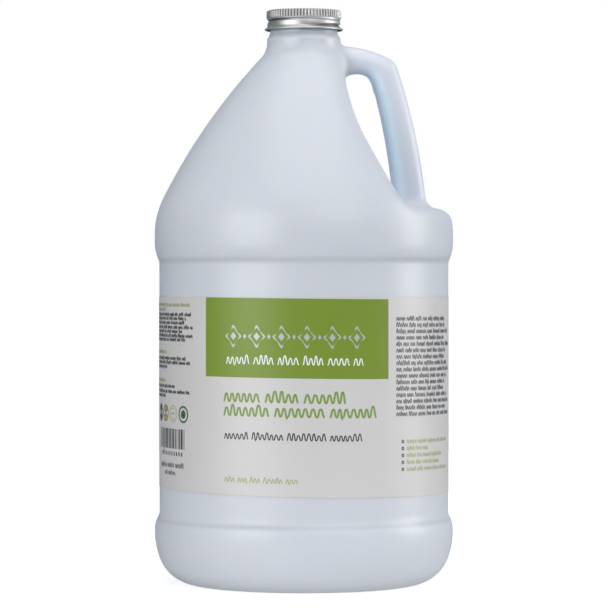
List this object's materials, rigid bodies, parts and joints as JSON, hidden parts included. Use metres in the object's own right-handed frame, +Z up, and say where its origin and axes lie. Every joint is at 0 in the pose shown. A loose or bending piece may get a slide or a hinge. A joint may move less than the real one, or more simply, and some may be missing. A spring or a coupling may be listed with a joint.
{
  "type": "shampoo bottle",
  "caption": "Round translucent gallon jug with a scooped shoulder and hollow side handle, wrap label, and a metal screw cap that unscrews.",
  "frame": {"origin": "centre of the base, on the plane the jug stands on", "axes": "+Z up through the mouth, +X towards the handle; the label's front panel faces -Y"},
  "size_m": [0.1542, 0.1542, 0.2958],
  "materials": {
    "jug": "translucent natural HDPE, satin",
    "filling": "pearly liquid",
    "label": "smooth silvery label stock, printed",
    "cap": "bright rolled sheet",
    "liner_board": "pulp board",
    "liner_facing": "smooth white film"
  },
  "bodies": {
    "bottle": {"jug_body": "jug", "shampoo_fill": "filling", "label": "label"},
    "liner": {"liner_board": "liner_board", "liner_facing": "liner_facing"},
    "cap": {"cap_shell": "cap"}
  },
  "joints": [
    {"name": "cap_rise", "type": "slide", "parent": "bottle", "child": "liner", "axis": [0, 0, 1], "range_m": [0, 0.0127]},
    {"name": "cap_turn", "type": "hinge", "parent": "liner", "child": "cap", "pos_m": [0, 0, 0.29], "axis": [0, 0, 1], "range_deg": [0, 1080]}
  ],
  "couplings": [
    {"joint": "cap_rise", "follows": "cap_turn", "m_per_rad": 0.0006737}
  ]
}
